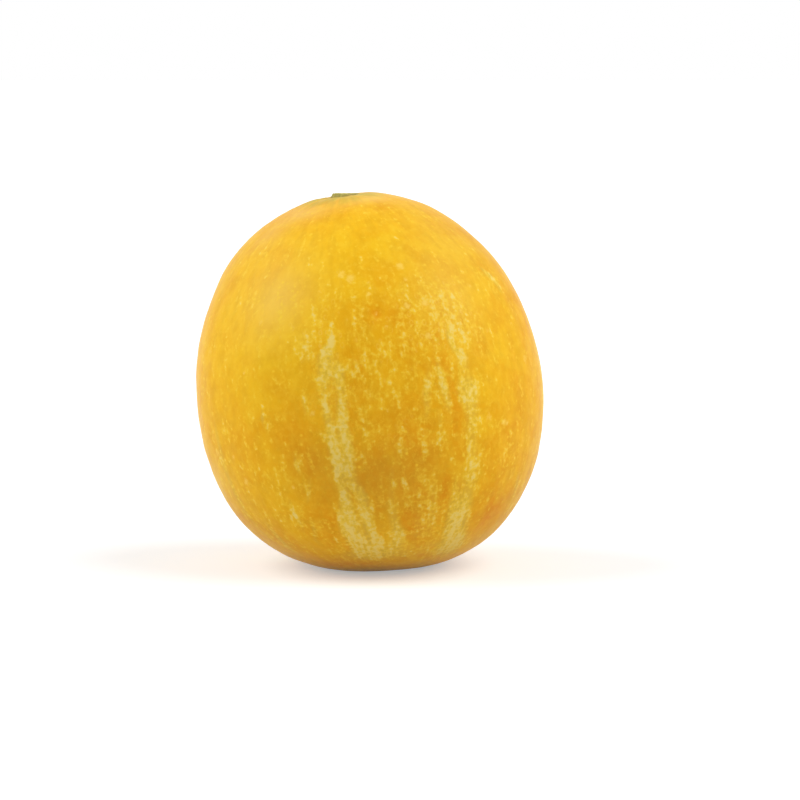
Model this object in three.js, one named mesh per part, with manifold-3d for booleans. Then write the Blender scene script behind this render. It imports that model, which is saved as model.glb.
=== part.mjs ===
// A whole ripe melon, standing on the small flat spot beside its blossom end.
// Millimetres, +Z up, front towards -Y. The origin is on the flat spot, right below the fruit's middle.
// Two pieces: the fruit, whose own axis leans towards -X at the top, and the cut stump of its stem.
import * as THREE from "three";
import { mergeVertices } from "three/addons/utils/BufferGeometryUtils.js";
import Module from "manifold-3d";

const wasm = await Module();
wasm.setup();
const { degToRad, lerp, smoothstep } = THREE.MathUtils;

// The fruit's outline, in the frame of its own axis. Superellipse exponents: 2 is an ellipse, more is fuller.
const HALF_WIDTH = 68.8; // at the widest level
const TOP_HEIGHT = 79.3; // from the widest level up to the stem end
const BASE_DEPTH = 71.2; // from the widest level down to the blossom end
const TOP_FULLNESS = 2;
const BASE_FULLNESS = 2.32;
const LEAN = degToRad(7.8);
const FLAT_DEPTH = 1.4; // what the flat spot takes off the round base
const SEGMENTS = 60;
const RINGS = 48;
const RING_CROWDING = 0.6; // 0 spaces the rings evenly, towards 1 they gather at both ends

// The shallow basin that the stem grew from, and the scar of the flower at the other end.
const STEM_BASIN = { depth: 1.6, floorRadius: 6.6, rimRadius: 16 };
const BLOSSOM_SCAR = { depth: 2, floorRadius: 2.4, rimRadius: 7.2 };

// Faint lengthwise lobes, and broad lumps. Longitudes run from the front (-Y) towards +X, in degrees.
const LOBES = 10;
const LOBE_HEIGHT = 0.3;
const LUMPS = [
  { longitude: 90, latitude: -67, height: 2.6, spread: 22 },
  { longitude: -92, latitude: 52, height: 1.2, spread: 11 },
  { longitude: 28, latitude: 20, height: 0.5, spread: 30 },
  { longitude: 148, latitude: 12, height: 1.1, spread: 38 },
  { longitude: -142, latitude: -28, height: 0.9, spread: 34 },
];

// The stump of the stem: a ridged neck on a flared foot, with a level cut just below the top of the fruit.
const STUMP_OUTLINE = [
  { above: 0, radius: 5.2 },
  { above: 0.35, radius: 5.1 },
  { above: 0.8, radius: 4.7 },
  { above: 1.5, radius: 4.45 },
  { above: 5, radius: 4.35 },
];
const STUMP_RIDGES = 5;
const RIDGE_SHARE = 0.05; // how far a ridge stands out, as a share of the radius
const STUMP_SEGMENTS = 40;
const STUMP_OFFSET = 1.1; // the stump stands this far from the fruit's axis, towards +X
const GAP = 0.3; // between the stump's foot and the floor of the basin
const CUT_DROP = 0.8; // the cut is this much lower than the fruit's top

// How far a superellipse with these two half axes reaches along the direction at this angle from its axis.
function reach(length, fullness, angle) {
  const dual = fullness / (fullness - 1);
  const across = (HALF_WIDTH * Math.sin(angle)) ** dual;
  const along = (length * Math.cos(angle)) ** dual;
  return (across + along) ** (1 / dual);
}

const WIDEST_LEVEL = reach(BASE_DEPTH, BASE_FULLNESS, LEAN) - FLAT_DEPTH;
const CUT_LEVEL = WIDEST_LEVEL + reach(TOP_HEIGHT, TOP_FULLNESS, LEAN) - CUT_DROP;

// The group stands for the fruit's own frame: its axis is +Z there, and its widest level is at 0.
const leaning = new THREE.Group();
leaning.position.z = WIDEST_LEVEL;
leaning.rotation.y = -LEAN;
leaning.updateMatrixWorld();

function solid(geometry) {
  const bare = geometry.clone();
  bare.deleteAttribute("normal");
  bare.deleteAttribute("uv");
  const merged = mergeVertices(bare);
  const mesh = new wasm.Mesh({
    numProp: 3,
    vertProperties: merged.attributes.position.array,
    triVerts: new Uint32Array(merged.index.array),
  });
  return new wasm.Manifold(mesh);
}

function geometryOf(manifold) {
  const { vertProperties, triVerts } = manifold.getMesh();
  const geometry = new THREE.BufferGeometry();
  geometry.setAttribute("position", new THREE.BufferAttribute(vertProperties, 3));
  geometry.setIndex(new THREE.BufferAttribute(triVerts, 1));
  geometry.computeVertexNormals();
  return geometry;
}

// A big block between two heights above the table, as a solid in the leaning frame.
function levelBlock(bottom, top) {
  const width = 4 * HALF_WIDTH;
  const block = new THREE.BoxGeometry(width, width, top - bottom);
  block.translate(0, 0, (bottom + top) / 2);
  block.applyMatrix4(leaning.matrixWorld.clone().invert());
  return solid(block);
}

// Revolves an outline of (radius, height) points about +Z.
function revolved(outline, segments) {
  return new THREE.LatheGeometry(outline, segments).rotateX(Math.PI / 2);
}

function moveVertices(geometry, move) {
  const position = geometry.attributes.position;
  const point = new THREE.Vector3();
  for (let i = 0; i < position.count; i += 1) {
    point.fromBufferAttribute(position, i);
    move(point);
    position.setXYZ(i, point.x, point.y, point.z);
  }
  return geometry;
}

const longitudeOf = (point) => Math.atan2(point.x, -point.y);

// Lowers the outline to the flat floor of a hollow at one end, easing back to full height at its rim.
function hollowed(height, radius, end, hollow) {
  const floor = end - Math.sign(end) * hollow.depth;
  const share = 1 - smoothstep(radius, hollow.floorRadius, hollow.rimRadius);
  return lerp(height, floor, share);
}

// A point of the outline, for an angle from -90 degrees (blossom end) to 90 degrees (stem end).
function outlinePoint(angle) {
  const onTop = angle >= 0;
  const power = 2 / (onTop ? TOP_FULLNESS : BASE_FULLNESS);
  const end = onTop ? TOP_HEIGHT : -BASE_DEPTH;
  const hollow = onTop ? STEM_BASIN : BLOSSOM_SCAR;
  const radius = HALF_WIDTH * Math.abs(Math.cos(angle)) ** power;
  const height = end * Math.abs(Math.sin(angle)) ** power;
  return new THREE.Vector2(radius, hollowed(height, radius, end, hollow));
}

function fruitOutline() {
  const points = [];
  for (let ring = 0; ring <= RINGS; ring += 1) {
    const even = (2 * ring) / RINGS - 1;
    const crowded = Math.sin((even * Math.PI) / 2);
    points.push(outlinePoint((Math.PI / 2) * lerp(even, crowded, RING_CROWDING)));
  }
  return points;
}

// How far the lobes lift the skin at this point: most around the middle, nothing at the two ends.
function lobeLift(point) {
  const fromAxis = Math.hypot(point.x, point.y) / HALF_WIDTH;
  return LOBE_HEIGHT * fromAxis ** 2 * Math.cos(LOBES * longitudeOf(point));
}

function lumpLift(point) {
  return LUMPS.reduce((lift, lump) => {
    const longitude = degToRad(lump.longitude);
    const latitude = degToRad(lump.latitude);
    const centre = new THREE.Vector3(
      Math.sin(longitude) * Math.cos(latitude),
      -Math.cos(longitude) * Math.cos(latitude),
      Math.sin(latitude),
    );
    const away = centre.angleTo(point) / degToRad(lump.spread);
    return lift + lump.height * Math.exp(-away * away);
  }, 0);
}

function makeFruit() {
  const round = revolved(fruitOutline(), SEGMENTS);
  const grown = moveVertices(round, (point) => {
    const lift = lobeLift(point) + lumpLift(point);
    point.setLength(point.length() + lift);
  });
  const belowTable = levelBlock(-TOP_HEIGHT, 0);
  const material = new THREE.MeshStandardMaterial({ color: 0xe4b02e, roughness: 0.45, metalness: 0 });
  const mesh = new THREE.Mesh(geometryOf(solid(grown).subtract(belowTable)), material);
  mesh.name = "fruit";
  return mesh;
}

function makeStump() {
  const foot = TOP_HEIGHT - STEM_BASIN.depth + GAP;
  const sides = STUMP_OUTLINE.map(({ above, radius }) => new THREE.Vector2(radius, foot + above));
  const bottom = new THREE.Vector2(0, sides[0].y);
  const top = new THREE.Vector2(0, sides[sides.length - 1].y);
  const ridged = moveVertices(revolved([bottom, ...sides, top], STUMP_SEGMENTS), (point) => {
    const share = 1 + RIDGE_SHARE * Math.cos(STUMP_RIDGES * longitudeOf(point));
    point.x = point.x * share + STUMP_OFFSET;
    point.y *= share;
  });
  const aboveCut = levelBlock(CUT_LEVEL, CUT_LEVEL + TOP_HEIGHT);
  const material = new THREE.MeshStandardMaterial({ color: 0x9a9a55, roughness: 0.8, metalness: 0 });
  const mesh = new THREE.Mesh(geometryOf(solid(ridged).subtract(aboveCut)), material);
  mesh.name = "stem_stump";
  return mesh;
}

leaning.add(makeFruit(), makeStump());
const melon = new THREE.Group();
melon.add(leaning);

export default melon;
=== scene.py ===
"""A whole ripe melon on a plain pale floor: yellow rind with cream streaks, and the cut stump of its stem.

Metres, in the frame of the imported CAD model. A place on the rind is a longitude, from the front (-Y)
towards +X, and a latitude towards the stem, in degrees, both seen from the middle of the fruit's widest
level. Sizes of markings are in degrees too; 1 degree is about 1.3 mm on the rind.
"""

from math import cos, pi, radians, sin

import bpy
import numpy as np
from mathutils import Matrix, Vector
from mathutils.bvhtree import BVHTree


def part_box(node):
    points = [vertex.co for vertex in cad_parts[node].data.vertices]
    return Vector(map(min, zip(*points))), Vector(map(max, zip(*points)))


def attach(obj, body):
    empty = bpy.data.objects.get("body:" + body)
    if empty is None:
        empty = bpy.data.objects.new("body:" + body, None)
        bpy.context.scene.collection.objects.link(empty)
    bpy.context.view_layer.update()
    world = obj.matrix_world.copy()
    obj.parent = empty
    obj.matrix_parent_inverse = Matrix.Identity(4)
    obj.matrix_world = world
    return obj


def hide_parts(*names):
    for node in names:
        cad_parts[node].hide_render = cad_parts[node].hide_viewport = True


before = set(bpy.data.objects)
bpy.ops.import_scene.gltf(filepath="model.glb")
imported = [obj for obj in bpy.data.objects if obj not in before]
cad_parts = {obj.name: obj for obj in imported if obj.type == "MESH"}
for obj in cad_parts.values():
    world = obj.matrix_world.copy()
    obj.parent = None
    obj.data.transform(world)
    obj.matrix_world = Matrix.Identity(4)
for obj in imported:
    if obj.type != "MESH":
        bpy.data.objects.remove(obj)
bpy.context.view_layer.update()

MM = 0.001

# The fruit's own frame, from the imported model: its middle, and its axis, which passes beside the stump.
WIDEST_SHARE = 0.4712  # how far up the fruit its widest level is
STUMP_OFFSET = 1.1 * MM  # the stump stands this far from the axis, towards +X
fruit_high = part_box("fruit")[1]
stump_low, stump_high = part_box("stem_stump")
middle = np.array([0.0, 0.0, WIDEST_SHARE * fruit_high.z])
stump_middle = np.array([(stump_low.x + stump_high.x) / 2, 0.0, (stump_low.z + stump_high.z) / 2])
along_axis = stump_middle - [STUMP_OFFSET, 0, 0] - middle
axis = along_axis / np.linalg.norm(along_axis)
back = np.array([0.0, 1.0, 0.0])
own_axes = np.array([np.cross(back, axis), back, axis])

# The skin's grid, and how far its facets are smoothed out: less where the two ends have small features.
SKIN_CELLS = 128
BODY_SMOOTHING = 5 * MM
END_SMOOTHING = 1.3 * MM
BASIN_REACH = 17 * MM
SCAR_REACH = 9 * MM
SMOOTHING_EASE = 8 * MM  # the smoothing changes over within this distance
CHART_MARGIN = 0.012  # kept clear round each chart of the skin's sheet, as a share of its width

# The relief at the two ends: creases and a corky ring at the stem, rings and roughness at the scar.
BROAD_CREASES = 13
FINE_CREASES = 22
CREASE_DEPTH = 0.35 * MM
CORK_RING_RADIUS = 7.2 * MM
CORK_RING_WIDTH = 0.8 * MM
CORK_RING_HEIGHT = 0.22 * MM
SCAR_RING_SPACING = 1.7 * MM
SCAR_RING_HEIGHT = 0.1 * MM
SCAR_ROUGHNESS = 0.05 * MM
# The slight unevenness all over: height and length of each set of waves.
UNEVENNESS = [(0.085 * MM, 30 * MM), (0.035 * MM, 12 * MM), (0.012 * MM, 5 * MM)]

# Cream streaks: knots of (longitude, latitude, half width, strength), from the stem end down.
STREAKS = [
    [(-9.2, 23.5, 1.0, 0.6), (-10.6, 21, 2.0, 0.9), (-11.8, 18.5, 2.4, 0.8), (-12.2, 15, 2.5, 0.75),
     (-12.8, 12, 2.1, 0.7), (-13.4, 8, 1.2, 0.3)],
    [(-8.4, 17, 0.8, 0.3), (-7.8, 13.5, 1.9, 0.8), (-8, 10, 1.7, 0.6), (-7.6, 6, 1.7, 0.45),
     (-8.4, 2, 1.6, 0.6), (-8.7, -3, 1.7, 0.65), (-8.6, -8, 1.8, 0.75), (-8.4, -13, 1.7, 0.7),
     (-10.4, -17.5, 2.6, 0.8), (-9.6, -20, 2.2, 0.4), (-8, -24, 1.8, 0.45), (-6.8, -28, 2.0, 0.45)],
    [(-13.6, 6, 0.8, 0.3), (-13.6, 3, 1.1, 0.75), (-13.3, -2, 1.2, 0.6), (-13.1, -7, 1.4, 0.7),
     (-12.9, -12, 1.6, 0.65), (-12.4, -17, 1.8, 0.7), (-12.6, -22, 1.7, 0.5), (-12.4, -26, 1.7, 0.75),
     (-13, -31, 2.2, 0.85), (-14, -36, 2.9, 1.0), (-14.2, -41, 3.1, 1.0), (-12.8, -45, 3.2, 0.9),
     (-11.5, -50, 3.4, 0.65), (-11, -54, 3.4, 0.3)],
    [(-10.8, 14, 2.6, 0.1), (-10.8, 8, 3.0, 0.1), (-10.9, 0, 3.2, 0.12), (-11, -8, 3.6, 0.3),
     (-10.8, -16, 3.6, 0.3), (-10, -24, 3.4, 0.15)],
    [(-6.4, -25, 1.4, 0.3), (-6.2, -30, 2.0, 0.55), (-6.8, -35, 2.2, 0.6), (-6.8, -40, 2.0, 0.7),
     (-6.4, -44, 2.1, 0.7), (-6.2, -48, 2.6, 0.7), (-5, -53, 2.8, 0.35)],
    [(5, -15, 0.8, 0), (4.8, -20, 1.1, 0.3), (3.8, -26, 1.3, 0.3), (3, -32, 1.6, 0.4),
     (3.4, -37, 1.6, 0.5), (4.4, -42, 1.8, 0.7), (4.6, -46, 2.2, 0.7), (3.4, -50, 2.2, 0.35)],
    [(21, 13, 0.8, 0), (20.4, 8, 1.3, 0.35), (18.8, 3, 1.6, 0.5), (18.2, -3, 1.4, 0.4),
     (17.4, -8, 1.2, 0.1)],
    [(23.9, 14, 0.8, 0.1), (24.3, 9, 1.2, 0.6), (25, 3, 1.4, 0.65), (25.7, -2, 1.2, 0.5),
     (25.4, -6, 1.0, 0.1)],
    [(22, -4, 0.8, 0.2), (22.4, -9, 1.0, 0.35), (21.4, -14, 0.8, 0.1)],
    [(31, 22, 0.8, 0.2), (30.7, 19, 1.2, 0.95), (31, 15, 1.2, 0.7), (33.4, 12, 2.0, 0.7),
     (33.4, 8, 2.2, 0.35)],
    [(33.4, 6, 2.8, 0.3), (33.6, 3, 3.8, 0.75), (33.6, -1, 3.6, 0.75), (33.8, -5, 2.8, 0.6),
     (33.4, -10, 2.4, 0.5), (33.2, -16, 2.6, 0.45), (33.4, -24, 3.2, 0.45), (32.4, -31, 3.2, 0.5),
     (31.6, -36, 3.4, 0.7), (30.8, -41, 3.4, 0.9), (31.2, -46, 3.6, 1.0), (33, -51, 3.8, 1.0),
     (34.6, -56, 4.0, 1.0), (35, -61, 4.0, 0.3)],
    [(27.4, -22, 1.0, 0), (27.4, -28, 1.5, 0.3), (26.8, -34, 1.8, 0.45), (27, -38, 2.0, 0.5),
     (27.6, -43, 2.0, 0.4), (28, -47, 2.0, 0.2)],
    [(13, -34, 1.4, 0.05), (13.2, -40, 1.8, 0.2), (13, -46, 2.4, 0.25)],
    [(18.4, -21, 1.0, 0.1), (18.4, -28, 1.4, 0.25), (18.4, -37, 1.6, 0.25), (18, -46, 1.8, 0.2)],
    [(-61.5, 6, 1.0, 0), (-61.5, -4, 1.6, 0.4), (-61.5, -16, 1.8, 0.5), (-61, -30, 1.8, 0.4),
     (-60, -42, 1.6, 0.3)],
    [(-51, -33, 1.2, 0.2), (-51, -42, 1.6, 0.55), (-50, -51, 1.6, 0.3)],
    [(-33.5, -27, 0.7, 0.3), (-33.5, -32, 0.9, 0.75), (-33, -37, 0.8, 0.3)],
    [(-27.4, -32, 0.7, 0.1), (-28.5, -38, 1.0, 0.45), (-31, -43, 0.8, 0.3)],
    [(-26.8, -12, 0.7, 0.2), (-26.8, -15, 1.0, 0.7), (-26.4, -18, 0.7, 0.2)],
    [(-23.5, -21, 0.6, 0.3), (-25, -25, 0.8, 0.5), (-26.5, -28, 0.6, 0.2)],
    [(-36, 4, 0.6, 0.2), (-36.3, 1, 0.9, 0.7), (-36.5, -2, 0.6, 0.2)],
    [(-20.6, 8, 0.8, 0.2), (-20.4, 5, 1.1, 0.5), (-20.6, 2, 0.9, 0.3)],
    [(58, -28, 0.8, 0.1), (61, -34, 1.4, 0.5), (64, -41, 1.4, 0.3)],
    [(60, 39, 0.8, 0.2), (63, 35, 1.6, 0.9), (65, 31, 1.3, 0.6), (64, 27, 1.0, 0.2)],
]
STREAK_HEIGHT = 0.05 * MM
STREAK_SKIRT = 1.4  # a streak fades out over this many half widths
STREAK_FADE = 2.5  # and over this many degrees past its ends
STREAK_GAIN = 1.3  # above 1, so that a streak is evenly full along its middle
SPECKLED_REACH = 7  # the rind is speckled this many degrees past a streak's edge
SPECKLED_SHARE = 0.8  # and this much, beside the strongest streaks

# Soft patches: (longitude, latitude, half width, half height, strength).
PALE_PATCHES = [
    (-9, -53, 11, 5, 0.6), (16, -38, 6, 11, 0.15), (14, -54, 16, 5, 0.15), (32, -54, 6, 8, 0.3),
    (31, 24, 5, 6, 0.1), (22, 31, 5, 3, 0.2), (-19, 23, 4, 5, 0.3), (-15, 9, 3, 8, 0.15),
]
ORANGE_PATCHES = [
    (9.5, -31, 3.5, 12, 1.0), (13, -42, 4, 8, 0.6), (49, -43, 9, 10, 0.9), (45, -27, 8, 9, 0.35),
    (23, -29, 2, 5, 0.9), (12, -10, 7, 9, 0.5), (-2, -18, 16, 16, 0.35), (17, -17, 5, 6, 0.4),
    (-3, -22, 3, 9, 0.5), (-24, -35, 8, 14, 0.3), (-32, -58, 12, 4, 0.5), (-26, -4, 8, 9, 0.3),
    (28, -8, 2.5, 12, 0.5), (27, 6, 1.5, 7, 0.5), (8, 30, 3, 4, 0.5), (-21, -15, 4, 6, 0.3),
    (60, -12, 10, 16, 0.2), (72, 14, 9, 30, 0.3), (18, -38, 9, 14, 0.45), (2, -16, 4, 8, 0.3),
]
# The patch at (-31, 27) is partly lemon tone and partly painted sheen on the upper left.
LEMON_PATCHES = [
    (52, 36, 13, 18, 0.7), (-48, 32, 20, 20, 0.7), (66, -4, 12, 22, 0.35), (-66, -6, 12, 26, 0.45),
    (-5, -22, 14, 20, 0.25), (2, 52, 40, 18, 0.75), (-33, 14, 22, 34, 0.4), (-31, 27, 15, 15, 0.8),
    (49, 8, 10, 12, 0.5), (-10, 30, 14, 10, 0.4), (-40, -36, 14, 18, 0.4), (38, -8, 6, 14, 0.4),
    (34, 20, 14, 14, 0.05),
]
# Painted shade: darker patches below the middle of the front, where the light falls off.
PAINTED_SHADE_PATCHES = [
    (0, -21, 22, 10, 1.0), (-20, -14, 7, 7, 0.5), (8, -33, 12, 9, 0.7),
]
SPECKLED_ZONES = [
    (26, 24, 13, 12, 1.0), (-15, 26, 12, 12, 0.8), (15, -12, 12, 26, 0.8), (15, -38, 12, 14, 1.0),
    (-25, -22, 10, 10, 0.6), (-8, 4, 12, 20, 0.6), (34, -14, 8, 26, 0.6), (-46, -24, 12, 20, 0.3),
    (0, 6, 12, 24, 0.6), (48, -26, 9, 14, 0.4), (36, 26, 9, 11, 0.9), (-6, -18, 8, 16, 0.6),
]
# Painted sheen: pale peach patches where the lamps' sheen and the bright upper rims show.
PAINTED_SHEENS = [
    (36, 31, 8, 10, 0.25), (-30, 38, 9, 10, 0.6), (-42, 72, 9, 4.5, 0.85), (-56, 62, 6, 6, 0.6),
    (52, 50, 12, 12, 0.2), (36, 76, 8, 3.5, 0.8),
]
# Small pale spots: (longitude, latitude, radius, strength).
SPOTS = [
    (-4, 44, 1.7, 0.9), (-0.5, 42, 1.7, 1.0), (20.7, 44, 1.5, 1.0), (21, 39, 1.1, 0.8),
    (5.5, 36, 1.2, 0.9), (6.5, 40, 0.9, 0.8), (18.5, 30.5, 1.2, 1.0), (25.3, 30.3, 1.3, 1.0),
    (27, 29, 1.0, 0.8), (23, 20, 1.4, 1.0), (28, 26.5, 1.1, 0.8), (32, 23, 1.0, 0.9),
    (32, 25.5, 0.8, 0.7), (38, 25.5, 1.3, 0.8), (37, 17.5, 1.4, 0.8), (33.5, 34, 1.0, 0.7),
    (34.5, 11, 1.4, 0.8), (33, 14, 1.2, 0.7), (22, 24.5, 0.9, 0.7), (17, 25, 0.8, 0.6),
    (30, 35, 0.8, 0.6), (47.5, 33, 1.6, 0.7), (47, 18, 1.2, 0.7), (65, 6, 2.0, 0.8), (62, 18, 1.8, 0.6),
    (-13, 39, 1.2, 0.7), (-37, 31, 1.1, 0.8), (-46.5, 36, 1.2, 0.6), (-43, 15.5, 1.0, 0.8),
    (-42, 8, 1.0, 0.5), (-18, 1, 1.3, 0.8), (-54, -12, 1.5, 0.7), (-51, -20, 1.6, 0.9),
    (-39, -22, 1.0, 0.7), (-30, -22, 0.9, 0.8), (-64, -11, 1.6, 0.8), (-65, 22, 2.0, 0.7),
    (40.5, -9, 1.7, 0.8), (47.3, -11.8, 1.2, 1.0), (49, -12.4, 1.0, 0.9), (9.5, 25, 0.7, 1.0),
    (5.5, -1, 0.6, 1.0), (7, 29.5, 0.8, 0.8),
]
POCKS = [
    (7, 29.5, 1.3, 0.8), (40.5, -9, 1.6, 0.4), (-18, 1, 1.4, 0.4), (25.5, 30, 1.4, 0.5),
    (17.5, -58, 2.0, 0.6), (22, -54, 1.2, 0.5),
]
POCK_DEPTH = 0.35 * MM

# The sides and the back get markings of the same kinds at seeded places, between these longitudes.
HIDDEN_FROM = 68
HIDDEN_TO = 360 - HIDDEN_FROM
STREAKS_FROM = 86
STREAK_SPACING = 42
# Strands of each hidden streak: highest and lowest latitude, and half width.
HIDDEN_STRANDS = [
    (26, 8, 1.3), (22, -4, 1.6), (12, -14, 2.0), (6, -24, 1.6), (-6, -32, 2.4), (-16, -42, 2.0),
    (-26, -52, 3.0), (-34, -60, 3.6),
]
# Patches of each kind there: how many, half width, half height and strength.
HIDDEN_PALE = (14, 9, 9, 0.4)
HIDDEN_ORANGE = (18, 7, 11, 0.6)
HIDDEN_LEMON = (10, 18, 20, 0.5)
# Painted sheen: pale peach patches over the sides and the back.
HIDDEN_PAINTED_SHEENS = (6, 12, 14, 0.5)
HIDDEN_SPECKLED = (14, 12, 18, 0.8)
HIDDEN_SPOTS = 26
SEED = 11


def srgb(red, green, blue):
    """A linear colour from the 0 to 255 values that a screen shows."""
    shares = [value / 255 for value in (red, green, blue)]
    return (*(s / 12.92 if s <= 0.04045 else ((s + 0.055) / 1.055) ** 2.4 for s in shares), 1.0)


def smoothstep(value, low, high):
    share = np.clip((value - low) / (high - low), 0, 1)
    return share * share * (3 - 2 * share)


def waves(points, length, seed, count=24):
    """Smooth seeded noise of about this wavelength, mostly between -1 and 1."""
    rng = np.random.default_rng(seed)
    directions = rng.normal(size=(count, 3))
    directions /= np.linalg.norm(directions, axis=1, keepdims=True)
    pace = 2 * pi / (length * rng.uniform(0.75, 1.35, count))
    phases = rng.uniform(0, 2 * pi, count)
    return np.cos(points @ (directions * pace[:, None]).T + phases).sum(axis=1) / (count / 2) ** 0.5


def own_frame(points):
    """Points of the shared frame as seen in the fruit's own frame, whose +Z is its axis."""
    return (points - middle) @ own_axes.T


def shared_frame(points):
    return points @ own_axes + middle


def longitude_latitude(directions):
    flat = np.hypot(directions[:, 0], directions[:, 1])
    longitude = np.degrees(np.arctan2(directions[:, 0], -directions[:, 1]))
    return longitude, np.degrees(np.arctan2(directions[:, 2], flat))


def angle_between(longitude, other):
    return (longitude - other + 180) % 360 - 180


# ---------------------------------------------------------------- the skin's shape


def cube_sphere(cells):
    """Directions all round, the quads between them, and the quads' corners on a sheet of six charts."""
    x, y, z = np.eye(3)
    faces = [(x, y, z), (y, x, -z), (y, z, x), (z, y, -x), (-x, z, y), (x, z, -y)]
    steps = np.tan(np.linspace(-pi / 4, pi / 4, cells + 1))
    across, up = (grid.ravel() for grid in np.meshgrid(steps, steps, indexing="ij"))
    index = np.arange((cells + 1) ** 2).reshape(cells + 1, cells + 1)
    corners = [index[:-1, :-1], index[1:, :-1], index[1:, 1:], index[:-1, 1:]]
    one_face = np.stack([corner.ravel() for corner in corners], axis=1)
    in_cells = np.stack(np.divmod(one_face, cells + 1), axis=-1)
    places = CHART_MARGIN + (1 - 2 * CHART_MARGIN) * in_cells / cells
    points, quads, charts = [], [], []
    for number, (right, over, out) in enumerate(faces):
        points.append(across[:, None] * right + up[:, None] * over + out)
        quads.append(one_face + number * len(across))
        charts.append((places + [number % 3, number // 3]) / [3, 2])
    directions = np.concatenate(points)
    directions /= np.linalg.norm(directions, axis=1, keepdims=True)
    millionths = (directions * 1e6).round().astype(int)
    _, first, merged = np.unique(millionths, axis=0, return_index=True, return_inverse=True)
    return directions[first], merged.ravel()[np.concatenate(quads)], np.concatenate(charts)


def cad_radius(directions, node):
    """How far the CAD node's surface is from the fruit's middle, along directions in the fruit's frame."""
    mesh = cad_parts[node].data
    tree = BVHTree.FromPolygons([v.co for v in mesh.vertices], [p.vertices for p in mesh.polygons])
    start = Vector(middle)
    return np.array([tree.ray_cast(start, Vector(ray))[3] for ray in directions @ own_axes])


def neighbour_mean(values, edges, counts):
    starts, ends = edges.T
    size = len(values)
    total = np.bincount(starts, values[ends], size) + np.bincount(ends, values[starts], size)
    return total / counts


def smoothed(radius, directions, quads):
    """The radius without the CAD model's facets."""
    edges = np.concatenate([quads[:, [0, 1]], quads[:, [1, 2]], quads[:, [2, 3]], quads[:, [3, 0]]])
    edges = np.unique(np.sort(edges, axis=1), axis=0)
    counts = np.bincount(edges.ravel(), minlength=len(radius))
    spacing = radius.mean() * pi / 2 / SKIN_CELLS
    rounds = int(2 * (BODY_SMOOTHING / spacing) ** 2)
    from_axis = radius * np.hypot(directions[:, 0], directions[:, 1])
    reach = np.where(directions[:, 2] > 0, BASIN_REACH, SCAR_REACH)
    share = (END_SMOOTHING / BODY_SMOOTHING) ** 2
    pull = share + (1 - share) * smoothstep(from_axis, reach, reach + SMOOTHING_EASE)
    for _ in range(rounds):
        radius = radius + pull * (neighbour_mean(radius, edges, counts) - radius)
    return radius


def basin_relief(directions, points):
    """Creases that run into the hollow round the stem, and the corky ring round the stem's foot."""
    from_axis = np.hypot(points[:, 0], points[:, 1])
    longitude = np.arctan2(directions[:, 0], -directions[:, 1])
    bend = 0.5 * waves(points, 14 * MM, SEED + 1)
    broad = np.abs(np.sin(BROAD_CREASES / 2 * longitude + bend))
    fine = np.abs(np.sin(FINE_CREASES / 2 * longitude + 2 * bend))
    creases = -broad * 0.6 - fine * 0.4
    zone = smoothstep(from_axis, 5 * MM, 9 * MM) * (1 - smoothstep(from_axis, 10 * MM, 19 * MM))
    ring = np.exp(-(((from_axis - CORK_RING_RADIUS) / CORK_RING_WIDTH) ** 2))
    ring *= 1 + 0.4 * waves(points, 3 * MM, SEED + 2)
    return (directions[:, 2] > 0) * (CREASE_DEPTH * zone * (creases + 0.5) + CORK_RING_HEIGHT * ring)


def scar_relief(directions, points):
    """Rings and a ragged rim round the scar of the flower."""
    from_axis = np.hypot(points[:, 0], points[:, 1])
    wobble = 0.35 * MM * waves(points, 5 * MM, SEED + 3)
    rings = np.cos(2 * pi * (from_axis + wobble) / SCAR_RING_SPACING)
    rings *= 1 - smoothstep(from_axis, 4 * MM, 6 * MM)
    rough = waves(points, 1.9 * MM, SEED + 4) * (1 - smoothstep(from_axis, 4.5 * MM, 7 * MM))
    return (directions[:, 2] < 0) * (SCAR_RING_HEIGHT * rings + SCAR_ROUGHNESS * rough)


def body_relief(points):
    """The slight unevenness that a sheen shows on any rind."""
    return sum(
        height * waves(points, length, SEED + 5 + number)
        for number, (height, length) in enumerate(UNEVENNESS)
    )


# ---------------------------------------------------------------- the skin's markings


def streak_cover(longitude, latitude, knots, spread):
    """How strongly one streak covers each point: full along its middle, and down to 0 past its edge."""
    places, heights, widths, strengths = (np.array(column, float)[::-1] for column in zip(*knots))
    across = angle_between(longitude, np.interp(latitude, heights, places)) * np.cos(np.radians(latitude))
    width = np.interp(latitude, heights, widths) * STREAK_SKIRT + spread
    strength = np.interp(latitude, heights, strengths)
    lowest, highest = heights[0], heights[-1]
    fade = STREAK_FADE + spread
    ends = smoothstep(latitude, lowest - fade, lowest) * smoothstep(-latitude, -highest - fade, -highest)
    return strength * ends * np.clip(STREAK_GAIN * (1 - np.abs(across) / width), 0, 1)


def patch_cover(longitude, latitude, patch):
    east, north, half_width, half_height, strength = patch
    across = angle_between(longitude, east) * np.cos(np.radians(latitude)) / half_width
    return strength * np.exp(-(across**2) - ((latitude - north) / half_height) ** 2)


def spot_cover(longitude, latitude, spot):
    """A cone over a round spot, so that its edge stays sharp between the grid's points."""
    east, north, radius, strength = spot
    across = angle_between(longitude, east) * np.cos(np.radians(latitude))
    away = np.hypot(across, latitude - north) / radius
    return strength * np.clip(1 - 0.5 * away, 0, 1)


def joined(covers):
    """One cover from several, which never passes 1."""
    left = 1.0
    for cover in covers:
        left = left * (1 - np.clip(cover, 0, 1))
    return 1 - left


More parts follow.
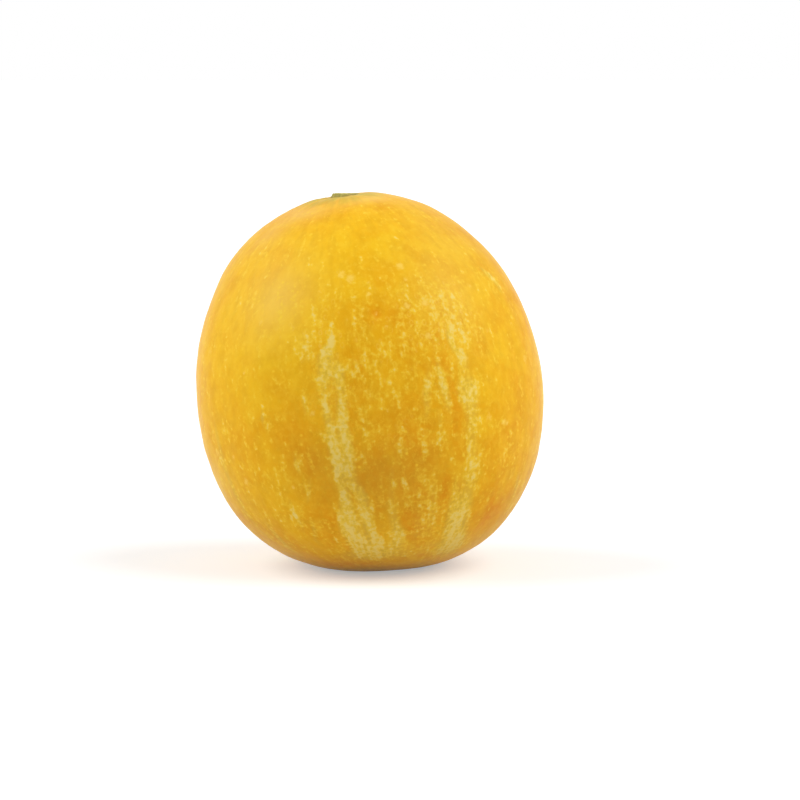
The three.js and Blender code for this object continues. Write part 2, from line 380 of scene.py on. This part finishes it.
def hidden_streaks(rng):
    """Streaks for the sides and the back: broken strands side by side, wider towards the blossom end."""
    streaks = []
    for line in np.arange(STREAKS_FROM, HIDDEN_TO, STREAK_SPACING):
        for top, bottom, width in HIDDEN_STRANDS:
            centre = line + rng.uniform(-5, 5)
            high, low = top + rng.uniform(-5, 5), bottom + rng.uniform(-5, 5)
            strength = rng.uniform(0.35, 0.85)
            shares = [0.1, rng.uniform(0.5, 1), 1, rng.uniform(0.5, 1), 0.2]
            places = centre + rng.normal(0, 0.6, len(shares))
            heights = np.linspace(high, low, len(shares))
            widths = width * rng.uniform(0.7, 1.2, len(shares))
            streaks.append(list(zip(places, heights, widths, strength * np.array(shares))))
    return streaks


def hidden_patches(rng, count, half_width, half_height, strength):
    """Soft patches scattered over the sides and the back."""
    return [
        (
            rng.uniform(HIDDEN_FROM, HIDDEN_TO),
            rng.uniform(-55, 45),
            half_width * rng.uniform(0.6, 1.3),
            half_height * rng.uniform(0.6, 1.3),
            strength * rng.uniform(0.5, 1),
        )
        for _ in range(count)
    ]


def hidden_spots(rng, count):
    return [
        (
            rng.uniform(HIDDEN_FROM, HIDDEN_TO),
            rng.uniform(-50, 50),
            rng.uniform(0.6, 1.3),
            rng.uniform(0.5, 1),
        )
        for _ in range(count)
    ]


def skin_markings(directions, points):
    """Every marking, with the painted sheen and the painted shade, as one number for each point, which the
    skin's material turns into colour.
    """
    rng = np.random.default_rng(SEED)
    longitude, latitude = longitude_latitude(directions)

    def streak_covers(streaks, spread):
        return [streak_cover(longitude, latitude, knots, spread) for knots in streaks]

    def patch_covers(patches):
        return [patch_cover(longitude, latitude, patch) for patch in patches]

    def spotted(spots):
        return np.max([spot_cover(longitude, latitude, spot) for spot in spots], axis=0)

    streaks = STREAKS + hidden_streaks(rng)
    pale = patch_covers(PALE_PATCHES + hidden_patches(rng, *HIDDEN_PALE))
    orange = patch_covers(ORANGE_PATCHES + hidden_patches(rng, *HIDDEN_ORANGE))
    lemon = patch_covers(LEMON_PATCHES + hidden_patches(rng, *HIDDEN_LEMON))
    # Patches of painted sheen.
    sheen_covers = patch_covers(PAINTED_SHEENS + hidden_patches(rng, *HIDDEN_PAINTED_SHEENS))
    speckled = patch_covers(SPECKLED_ZONES + hidden_patches(rng, *HIDDEN_SPECKLED))
    spots = SPOTS + hidden_spots(rng, HIDDEN_SPOTS)
    from_axis = np.hypot(points[:, 0], points[:, 1])
    ragged = from_axis + 0.9 * MM * waves(points, 8 * MM, SEED + 8)
    upper = points[:, 2] > 0
    stem_cork = 1 - smoothstep(ragged, 6.4 * MM, 8 * MM)
    scar_cork = 1 - smoothstep(ragged, 4 * MM, 6.5 * MM)
    beside = [SPECKLED_SHARE * cover for cover in streak_covers(streaks, SPECKLED_REACH)]
    return {
        "pale": joined(streak_covers(streaks, 0) + pale),
        "around": joined(beside + pale),
        "orange": joined(orange),
        "lemon": joined(lemon),
        # Painted shade, then painted sheen.
        "painted_shade": joined(patch_covers(PAINTED_SHADE_PATCHES)),
        "painted_sheen": joined(sheen_covers),
        "speckled": joined(speckled),
        "spots": spotted(spots),
        "pocks": spotted(POCKS),
        "upper": smoothstep(latitude, -40, 40),
        "green": upper * (1 - smoothstep(ragged, 9 * MM, 23 * MM)),
        "cork": np.where(upper, stem_cork, scar_cork),
    }


def add_numbers(mesh, name, values):
    numbers = mesh.attributes.new(name, "FLOAT", "POINT")
    numbers.data.foreach_set("value", values.astype(np.float32))


def add_vectors(mesh, name, vectors):
    places = mesh.attributes.new(name, "FLOAT_VECTOR", "POINT")
    places.data.foreach_set("vector", vectors.astype(np.float32).ravel())


def along_grain(directions, points):
    """A place on an unrolled rind: round the fruit in X and Y, and along it, from end to end, in Z."""
    flat = np.maximum(np.hypot(directions[:, 0], directions[:, 1]), 1e-6)
    round_it = directions[:, :2] / flat[:, None]
    along = np.arctan2(directions[:, 2], flat)
    return np.column_stack([round_it, along]) * np.linalg.norm(points, axis=1).mean()


def make_skin():
    directions, quads, charts = cube_sphere(SKIN_CELLS)
    radius = smoothed(cad_radius(directions, "fruit"), directions, quads)
    points = directions * radius[:, None]
    markings = skin_markings(directions, points)
    relief = body_relief(points) + basin_relief(directions, points) + scar_relief(directions, points)
    relief += STREAK_HEIGHT * markings["pale"] - POCK_DEPTH * markings["pocks"]
    shape = shared_frame(directions * (radius + relief)[:, None])
    shape[:, 2] = np.maximum(shape[:, 2], 0)
    mesh = bpy.data.meshes.new("melon_skin")
    mesh.from_pydata(shape.tolist(), [], quads.tolist())
    mesh.uv_layers.new(name="OFBake").data.foreach_set("uv", charts.astype(np.float32).ravel())
    mesh.shade_smooth()
    for name, values in markings.items():
        add_numbers(mesh, name, values)
    add_vectors(mesh, "grain", along_grain(directions, points))
    mesh.materials.append(rind_material())
    return place("melon_skin", mesh, "fruit")


# ---------------------------------------------------------------- the stump of the stem

STUMP_TURNS = 96
STUMP_SIDE_RINGS = 22
STUMP_TOP_RINGS = 20
STUMP_RIDGES = 5
RIDGE_SHARE = 0.05  # how far a ridge stands out, as a share of the radius
NECK_SHARE = 0.85  # of the foot's radius
FLARE_SHARE = 0.22  # what the foot adds to the neck
FLARE_HEIGHT = 0.9 * MM
STUMP_SINK = 0.7 * MM  # how far its foot goes into the skin
RIM_DROP = 0.1 * MM  # the rim of the cut is this much lower than the cut
RIM_SHARE = 0.985  # where the cut face starts, as a share of the rim's radius
CUT_DISH = 0.28 * MM  # how hollow the cut face is
BUNDLES = 10
BUNDLE_HEIGHT = 0.12 * MM
STUMP_ROUGHNESS = 0.05 * MM


def stump_radius(height, longitude, foot_radius):
    """The stump's outline, a height above its foot: a flared foot, a neck, and ridges with fine threads."""
    neck = NECK_SHARE + FLARE_SHARE * np.exp(-height / FLARE_HEIGHT)
    ridges = 1 + RIDGE_SHARE * np.cos(STUMP_RIDGES * longitude)
    broad_threads = 0.018 * np.sin(31 * longitude + 1.3 * np.sin(3 * longitude))
    fine_threads = 0.012 * np.sin(47 * longitude)
    return foot_radius * neck * ridges * (1 + broad_threads + fine_threads)


def cut_height(flat):
    """Where the level cut is in the fruit's own frame, over these places beside the axis."""
    return (stump_high.z - middle[2] - flat[:, 0] * own_axes[0, 2]) / own_axes[2, 2]


def stump_points():
    """Rings of points: up the side, over the rim of the cut, and in across the cut face to its middle."""
    packed = own_frame(np.array([v.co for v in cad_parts["stem_stump"].data.vertices]))
    foot = packed[:, 2].min()
    centre = np.array([STUMP_OFFSET, 0.0])
    foot_radius = np.hypot(*(packed[:, :2] - centre).T).max() / (1 + RIDGE_SHARE)
    turn = np.linspace(0, 2 * pi, STUMP_TURNS, endpoint=False)
    outward = np.column_stack([np.sin(turn), -np.cos(turn)])
    top = cut_height(centre + outward * (NECK_SHARE * foot_radius)) - RIM_DROP
    rings = []
    for step in range(STUMP_SIDE_RINGS + 1):
        share = step / STUMP_SIDE_RINGS
        height = (foot - STUMP_SINK) + share * (top - foot + STUMP_SINK)
        flat = centre + outward * stump_radius(height - foot, turn, foot_radius)[:, None]
        rings.append(np.column_stack([flat, height]))
    rim = rings[-1][:, :2] - centre
    for step in range(STUMP_TOP_RINGS):
        share = RIM_SHARE * (1 - step / STUMP_TOP_RINGS)
        flat = centre + rim * share
        dish = CUT_DISH * (1 - share**4)
        rings.append(np.column_stack([flat, cut_height(flat) - dish]))
    tip = np.column_stack([centre[None], cut_height(centre[None]) - CUT_DISH])
    return np.concatenate([*rings, tip]), len(rings)


def bundle_cover(beside):
    """The ends of the fibre bundles on the cut face: an uneven ring."""
    rng = np.random.default_rng(SEED + 10)
    covers = []
    for bundle in range(BUNDLES):
        turn = (bundle + rng.uniform(-0.2, 0.2)) * 2 * pi / BUNDLES
        from_middle = rng.uniform(2.5, 3.1) * MM
        away = np.linalg.norm(beside - from_middle * np.array([sin(turn), -cos(turn)]), axis=1)
        covers.append(np.clip(1 - away / (rng.uniform(0.5, 0.8) * MM), 0, 1))
    return np.max(covers, axis=0)


def stump_faces(ring_count, tip):
    """Quads between the rings, a fan from the last ring to the tip, and one face under the foot."""
    turns = np.arange(STUMP_TURNS)
    following = (turns + 1) % STUMP_TURNS
    faces = []
    for ring in range(ring_count - 1):
        low = ring * STUMP_TURNS
        high = low + STUMP_TURNS
        faces += np.stack([low + turns, low + following, high + following, high + turns], axis=1).tolist()
    last = (ring_count - 1) * STUMP_TURNS
    faces += [[last + turn, last + (turn + 1) % STUMP_TURNS, tip] for turn in turns]
    faces.append(turns[::-1].tolist())
    return faces


def make_stump():
    points, ring_count = stump_points()
    faces = stump_faces(ring_count, len(points) - 1)
    on_cut = np.arange(len(points)) >= (STUMP_SIDE_RINGS + 1) * STUMP_TURNS
    beside = points[:, :2] - [STUMP_OFFSET, 0]
    from_middle = np.hypot(*beside.T)
    bundles = bundle_cover(beside) * on_cut
    rough = STUMP_ROUGHNESS * waves(points, 1.3 * MM, SEED + 9) * np.where(on_cut, 1, 0.6)
    points[:, 2] += rough * on_cut + BUNDLE_HEIGHT * bundles
    points[:, :2] += beside * (rough / (5 * MM) * ~on_cut)[:, None]
    from_foot = points[:, 2] - points[:STUMP_TURNS, 2].min()
    mesh = bpy.data.meshes.new("cut_stem")
    shape = shared_frame(points)
    shape[:, 2] = np.minimum(shape[:, 2], stump_high.z)
    mesh.from_pydata(shape.tolist(), [], faces)
    mesh.shade_smooth()
    add_numbers(mesh, "cut", on_cut.astype(float))
    add_numbers(mesh, "bundles", bundles)
    add_numbers(mesh, "rim", smoothstep(from_middle, 3.6 * MM, 4.4 * MM))
    add_numbers(mesh, "foot", 1 - smoothstep(from_foot, 0.3 * MM, 1.6 * MM))
    round_it = beside / np.maximum(from_middle, 1e-6)[:, None] * from_middle.max()
    add_vectors(mesh, "grain", np.column_stack([round_it, points[:, 2]]))
    mesh.materials.append(stem_material())
    return place("cut_stem", mesh, "stem_stump")


def place(name, mesh, node):
    """Puts a piece where its CAD node is, in that node's stead."""
    piece = bpy.data.objects.new(name, mesh)
    bpy.context.scene.collection.objects.link(piece)
    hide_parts(node)
    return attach(piece, "root")


# ---------------------------------------------------------------- materials


class Nodes:
    """Adds the nodes of a material or a world. A source is a number, a colour or another node's output."""

    def __init__(self, owner):
        self.owner = owner
        owner.use_nodes = True
        self.tree = owner.node_tree
        self.tree.nodes.clear()

    def add(self, kind, inputs=(), **settings):
        node = self.tree.nodes.new("ShaderNode" + kind)
        for name, value in settings.items():
            setattr(node, name, value)
        for name, source in dict(inputs).items():
            if isinstance(source, bpy.types.NodeSocket):
                self.tree.links.new(source, node.inputs[name])
            else:
                node.inputs[name].default_value = source
        return node

    def number(self, name):
        """One of the numbers that the mesh has for each point."""
        return self.add("Attribute", attribute_name=name).outputs["Fac"]

    def own_place(self):
        return self.add("TexCoord").outputs["Object"]

    def grain(self, stretch):
        """Places on the unrolled rind, drawn out along the fruit by this factor."""
        place_on_rind = self.add("Attribute", attribute_name="grain").outputs["Vector"]
        scale = {"Vector": place_on_rind, "Scale": (1, 1, 1 / stretch)}
        return self.add("Mapping", scale, vector_type="POINT").outputs["Vector"]

    def noise(self, vector, size, detail=2.0, roughness=0.5, distortion=0.0):
        """Noise from 0 to 1 with features about this many metres across."""
        inputs = {
            "Vector": vector,
            "Scale": 1 / size,
            "Detail": detail,
            "Roughness": roughness,
            "Distortion": distortion,
        }
        return self.add("TexNoise", inputs).outputs["Fac"]

    def cells(self, vector, size):
        """Each place's distance from the middle of its cell, and two random numbers for each cell."""
        cells = self.add("TexVoronoi", {"Vector": vector, "Scale": 1 / size})
        numbers = self.add("SeparateColor", {"Color": cells.outputs["Color"]}).outputs
        return cells.outputs["Distance"], numbers[0], numbers[1]

    def maths(self, operation, first, second=0.0, third=0.0):
        return self.add("Math", {0: first, 1: second, 2: third}, operation=operation).outputs[0]

    def plus(self, first, second):
        return self.maths("ADD", first, second)

    def times(self, first, second):
        return self.maths("MULTIPLY", first, second)

    def rest(self, share):
        """What a share leaves of 1."""
        return self.maths("SUBTRACT", 1.0, share)

    def away(self, value, middle_value):
        """How far a value is from this one, either way."""
        return self.maths("ABSOLUTE", self.maths("SUBTRACT", value, middle_value))

    def rise(self, value, low, high, top=1.0):
        """0 below low, top above high, and smooth in between."""
        inputs = {"Value": value, "From Min": low, "From Max": high, "To Min": 0.0, "To Max": top}
        return self.add("MapRange", inputs, interpolation_type="SMOOTHSTEP").outputs["Result"]

    def mix(self, share, first, second):
        """Colour first where share is 0, second where it is 1."""
        return self.add("Mix", {0: share, 6: first, 7: second}, data_type="RGBA").outputs[2]

    def bump(self, height, distance):
        inputs = {"Height": height, "Distance": distance, "Strength": 1.0}
        return self.add("Bump", inputs).outputs["Normal"]

    def finish(self, shader, output="OutputMaterial"):
        """Sends the shader to the output, and gives back the material or the world."""
        self.add(output, {"Surface": shader})
        return self.owner


GOLDEN = srgb(237, 174, 20)
DEEP_GOLD = srgb(229, 153, 8)
LEMON = srgb(246, 199, 34)
ORANGE = srgb(231, 144, 4)
STRAW = srgb(219, 181, 68)
CREAM = srgb(243, 212, 110)
PALE_GOLD = srgb(249, 208, 56)
SPOT_CREAM = srgb(250, 211, 92)
# A peach for painted sheen.
SHEEN_PEACH = srgb(244, 204, 112)
AMBER = srgb(208, 142, 8)
OLIVE = srgb(200, 160, 28)
# A dull gold for painted shade.
SHADE_GOLD = srgb(176, 136, 52)
LEAF_GREEN = srgb(178, 164, 44)
CORK = srgb(190, 152, 72)


def ground_colour(nodes):
    """Golden yellow, drifting to lemon, deep gold and orange, with a fine mottle, amber painted shade and
    peach painted sheen.
    """
    drift = nodes.rise(nodes.noise(nodes.own_place(), 38 * MM, 3), 0.35, 0.68, 0.5)
    lemon = nodes.maths("MAXIMUM", nodes.number("lemon"), drift)
    colour = nodes.mix(nodes.times(lemon, 0.9), GOLDEN, LEMON)
    clouds = nodes.rise(nodes.noise(nodes.own_place(), 11 * MM, 3, 0.5), 0.42, 0.66, 0.6)
    clouds = nodes.times(clouds, nodes.rest(nodes.times(lemon, 0.8)))
    colour = nodes.mix(clouds, colour, DEEP_GOLD)
    blotch = nodes.rise(nodes.noise(nodes.grain(2), 8 * MM, 4, 0.6), 0.3, 0.56)
    orange = nodes.times(nodes.number("orange"), nodes.maths("MULTIPLY_ADD", blotch, 0.6, 0.4))
    colour = nodes.mix(orange, colour, ORANGE)
    mottle = nodes.rise(nodes.noise(nodes.own_place(), 3 * MM, 4, 0.7), 0.42, 0.66, 0.26)
    colour = nodes.mix(mottle, colour, PALE_GOLD)
    shade = nodes.rise(nodes.noise(nodes.grain(1.3), 6 * MM, 3, 0.55), 0.38, 0.72, 0.24)
    # Amber mottle, with more amber over the painted shade.
    colour = nodes.mix(nodes.maths("MULTIPLY_ADD", nodes.number("painted_shade"), 0.25, shade), colour, AMBER)
    # Painted sheen: peach over the patches of sheen.
    return nodes.mix(nodes.times(nodes.number("painted_sheen"), 0.5), colour, SHEEN_PEACH)


def nearby(nodes):
    """How speckled the rind is here: most beside the streaks and in the speckled zones."""
    return nodes.maths("MAXIMUM", nodes.number("around"), nodes.number("speckled"))


def bloom(nodes):
    """How thick the pale bloom is: crumbs where it is sparse, which run together in the streaks."""
    crumbs = nodes.times(nodes.noise(nodes.own_place(), 1.7 * MM, 2, 0.5), 3.0)
    clumps = nodes.times(nodes.noise(nodes.grain(2), 4.4 * MM, 3, 0.6), 2.65)
    strands = nodes.times(nodes.noise(nodes.grain(4), 2.6 * MM, 2, 0.5), 2.2)
    unevenness = nodes.plus(crumbs, nodes.plus(clumps, strands))
    density = nodes.maths("MULTIPLY_ADD", nearby(nodes), 0.57, nodes.number("pale"))
    density = nodes.maths("MULTIPLY_ADD", nodes.number("orange"), -0.35, density)
    return nodes.plus(density, nodes.maths("SUBTRACT", unevenness, 4.08))


def squiggle_share(nodes):
    """Short winding lines where the rind is speckled."""
    winding = nodes.noise(nodes.grain(1.5), 2.6 * MM, 2, 0.5, 0.6)
    off_line = nodes.rise(nodes.away(winding, 0.5), 0.0, 0.05)
    pieces = nodes.rise(nodes.noise(nodes.own_place(), 2.8 * MM, 2), 0.42, 0.6)
    return nodes.times(nodes.times(nodes.rest(off_line), pieces), nodes.number("speckled"))


def fleck_share(nodes):
    """Tiny olive flecks, mostly inside the streaks and beside them."""
    flecks = nodes.rise(nodes.noise(nodes.own_place(), 1.6 * MM, 3, 0.6), 0.5, 0.68)
    return nodes.times(flecks, nodes.maths("MULTIPLY_ADD", nodes.number("around"), 0.2, 0.04))


def dot_share(nodes):
    """Sparse small dots, one in a few cells."""
    distance, chance, _ = nodes.cells(nodes.own_place(), 3.6 * MM)
    chosen = nodes.rise(chance, 0.68, 0.8)
    return nodes.times(chosen, nodes.rest(nodes.rise(distance, 0.05, 0.26)))


def ringlet_share(nodes):
    """Tiny pale rings in some cells of the speckled rind."""
    distance, _, chance = nodes.cells(nodes.grain(1.3), 2.6 * MM)
    chosen = nodes.rise(chance, 0.4, 0.6)
    ring = nodes.rest(nodes.rise(nodes.away(distance, 0.3), 0.03, 0.14))
    broken = nodes.rise(nodes.noise(nodes.own_place(), 1.2 * MM, 2), 0.38, 0.56)
    where = nodes.times(nodes.number("speckled"), nodes.number("upper"))
    return nodes.times(nodes.times(chosen, ring), nodes.times(broken, where))


def with_bloom(nodes, colour, thickness, streaks):
    """A straw veil under the streaks, winding lines, ringlets, crumbs, the streaks and their flecks."""
    veil = nodes.maths("MULTIPLY_ADD", nodes.number("around"), 0.25, nodes.number("pale"))
    colour = nodes.mix(nodes.rise(veil, 0.12, 1.05, 0.8), colour, STRAW)
    colour = nodes.mix(nodes.times(squiggle_share(nodes), 0.4), colour, PALE_GOLD)
    colour = nodes.mix(nodes.times(ringlet_share(nodes), 0.4), colour, SPOT_CREAM)
    colour = nodes.mix(nodes.rise(thickness, 0.05, 1.0, 0.65), colour, PALE_GOLD)
    colour = nodes.mix(nodes.times(streaks, 0.95), colour, CREAM)
    return nodes.mix(fleck_share(nodes), colour, OLIVE)


def with_spots(nodes, colour):
    """Painted shade in dull gold, small dots, orange pocks and round pale spots."""
    colour = nodes.mix(nodes.times(nodes.number("painted_shade"), 0.2), colour, SHADE_GOLD)
    colour = nodes.mix(nodes.times(dot_share(nodes), 0.6), colour, PALE_GOLD)
    colour = nodes.mix(nodes.rise(nodes.number("pocks"), 0.15, 0.7, 0.5), colour, ORANGE)
    unevenness = nodes.noise(nodes.own_place(), 1.4 * MM, 3, 0.7)
    ragged = nodes.maths("MULTIPLY_ADD", unevenness, 0.9, nodes.number("spots"))
    return nodes.mix(nodes.rise(ragged, 0.85, 1.35, 0.7), colour, SPOT_CREAM)


def with_ends(nodes, colour, corky):
    """Green rays round the stem, and cork at the stem and the scar."""
    rays = nodes.rise(nodes.noise(nodes.grain(3), 15 * MM, 3, 0.6), 0.25, 0.6)
    green = nodes.times(nodes.number("green"), rays)
    colour = nodes.mix(nodes.times(green, 0.8), colour, LEAF_GREEN)
    return nodes.mix(nodes.times(corky, 0.8), colour, CORK)


def rind_material():
    nodes = Nodes(bpy.data.materials.new("rind"))
    thickness = bloom(nodes)
    streaks = nodes.rise(thickness, 0.66, 1.58)
    crumbly = nodes.rise(nodes.noise(nodes.own_place(), 1 * MM, 3, 0.7), 0.3, 0.6)
    corky = nodes.times(nodes.number("cork"), crumbly)
    colour = with_bloom(nodes, ground_colour(nodes), thickness, streaks)
    colour = with_ends(nodes, with_spots(nodes, colour), corky)
    grain = nodes.noise(nodes.own_place(), 1.6 * MM, 3, 0.6)
    matte = nodes.times(nodes.maths("MAXIMUM", streaks, corky), 0.12)
    height = nodes.plus(nodes.noise(nodes.own_place(), 1.2 * MM, 3, 0.6), nodes.times(streaks, 0.4))
    inputs = {
        "Base Color": colour,
        "Roughness": nodes.plus(nodes.plus(nodes.times(grain, 0.16), matte), 0.34),
        "Normal": nodes.bump(height, 0.04 * MM),
        "Specular IOR Level": 0.08,
    }
    return nodes.finish(nodes.add("BsdfPrincipled", inputs).outputs["BSDF"])


STEM_GREEN = srgb(148, 144, 52)
STEM_STRAW = srgb(190, 174, 84)
STEM_BROWN = srgb(138, 110, 56)
CUT_FACE = srgb(208, 192, 112)
CUT_GREEN = srgb(176, 166, 80)
FIBRE = srgb(176, 146, 78)


def stem_material():
    nodes = Nodes(bpy.data.materials.new("stem"))
    threads = nodes.noise(nodes.grain(9), 0.5 * MM, 3, 0.6)
    bark = nodes.mix(nodes.rise(threads, 0.35, 0.65), STEM_GREEN, STEM_STRAW)
    patchy = nodes.rise(nodes.noise(nodes.own_place(), 1.2 * MM, 3), 0.3, 0.6)
    bark = nodes.mix(nodes.times(nodes.number("foot"), patchy), bark, STEM_BROWN)
    spongy = nodes.rise(nodes.noise(nodes.own_place(), 0.9 * MM, 4, 0.7), 0.38, 0.66, 0.8)
    pith = nodes.mix(spongy, CUT_FACE, CUT_GREEN)
    pith = nodes.mix(nodes.rise(nodes.number("bundles"), 0.1, 0.7, 0.7), pith, FIBRE)
    pith = nodes.mix(nodes.rise(nodes.number("rim"), 0.2, 0.9, 0.8), pith, STEM_GREEN)
    colour = nodes.mix(nodes.number("cut"), bark, pith)
    height = nodes.plus(threads, nodes.noise(nodes.own_place(), 0.35 * MM, 2))
    inputs = {
        "Base Color": colour,
        "Roughness": nodes.plus(0.6, nodes.times(threads, 0.25)),
        "Normal": nodes.bump(height, 0.08 * MM),
    }
    return nodes.finish(nodes.add("BsdfPrincipled", inputs).outputs["BSDF"])


# ---------------------------------------------------------------- the stage

FLOOR_SIZE = 60.0
FLOOR_COLOUR = (0.75, 0.76, 0.78, 1.0)
FLOOR_GLOW = 0.38  # added only where the floor itself is seen, so that it reads white with its shadow
ROOM_LIGHT = 0.325
# Lamps: name, bearing from the front towards +X, height, strength and width, with angles in degrees.
LAMPS = [
    ("left_window", -91, 37, 1.97, 56),
    ("right_window", 78, 42, 2.05, 56),
]
VIEW_ELEVATION = radians(6)
VIEW_DISTANCE = 1.2
VIEW_HEIGHT = 0.075
AIM_RIGHT = 12.3 * MM  # how far the picture's centre lies right of the fruit's middle
AIM_DOWN = 8.6 * MM  # and how far below VIEW_HEIGHT
LENS = 135.6
WHITE = (1.0, 1.0, 1.0, 1.0)


def shown_white(nodes):
    """1 for rays that show the background itself: from the camera, in a reflection or through glass."""
    path = nodes.add("LightPath")
    seen = nodes.maths("MAXIMUM", path.outputs["Is Camera Ray"], path.outputs["Is Glossy Ray"])
    return nodes.maths("MAXIMUM", seen, path.outputs["Is Transmission Ray"])


def make_floor():
    half = FLOOR_SIZE / 2
    corners = [(-half, -half, 0), (half, -half, 0), (half, half, 0), (-half, half, 0)]
    mesh = bpy.data.meshes.new("floor")
    mesh.from_pydata(corners, [], [(0, 1, 2, 3)])
    nodes = Nodes(bpy.data.materials.new("floor"))
    diffuse = nodes.add("BsdfDiffuse", {"Color": FLOOR_COLOUR}).outputs[0]
    glow_strength = nodes.times(shown_white(nodes), FLOOR_GLOW)
    glow = nodes.add("Emission", {"Color": WHITE, "Strength": glow_strength}).outputs[0]
    mesh.materials.append(nodes.finish(nodes.add("AddShader", {0: diffuse, 1: glow}).outputs[0]))
    floor = bpy.data.objects.new("floor", mesh)
    bpy.context.scene.collection.objects.link(floor)


def light_room():
    """An even dim light from all round, which is white where it is seen itself."""
    nodes = Nodes(bpy.data.worlds.new("room"))
    inputs = {"Value": shown_white(nodes), "To Min": ROOM_LIGHT, "To Max": 1.0}
    strength = nodes.add("MapRange", inputs).outputs["Result"]
    background = nodes.add("Background", {"Color": WHITE, "Strength": strength}).outputs[0]
    bpy.context.scene.world = nodes.finish(background, "OutputWorld")


def add_lamps():
    for name, bearing, height, strength, width in LAMPS:
        bearing, height = radians(bearing), radians(height)
        direction = Vector((sin(bearing) * cos(height), -cos(bearing) * cos(height), sin(height)))
        lamp = bpy.data.lights.new(name, "SUN")
        lamp.energy = strength
        lamp.angle = radians(width)
        holder = bpy.data.objects.new(name, lamp)
        holder.rotation_euler = direction.to_track_quat("Z", "Y").to_euler()
        bpy.context.scene.collection.objects.link(holder)


def add_camera():
    target = Vector((0, 0, VIEW_HEIGHT))
    away = Vector((0, -cos(VIEW_ELEVATION), sin(VIEW_ELEVATION)))
    right = Vector((1, 0, 0))
    up = right.cross(-away)
    camera = bpy.data.cameras.new("camera")
    camera.lens = LENS
    camera.clip_start = 0.05
    camera.clip_end = 100
    holder = bpy.data.objects.new("camera", camera)
    holder.location = target + away * VIEW_DISTANCE
    aim = target + right * AIM_RIGHT - up * AIM_DOWN
    holder.rotation_euler = (aim - holder.location).to_track_quat("-Z", "Y").to_euler()
    bpy.context.scene.collection.objects.link(holder)
    bpy.context.scene.camera = holder


make_skin()
make_stump()
make_floor()
light_room()
add_lamps()
add_camera()
bpy.context.scene.view_settings.view_transform = "Standard"
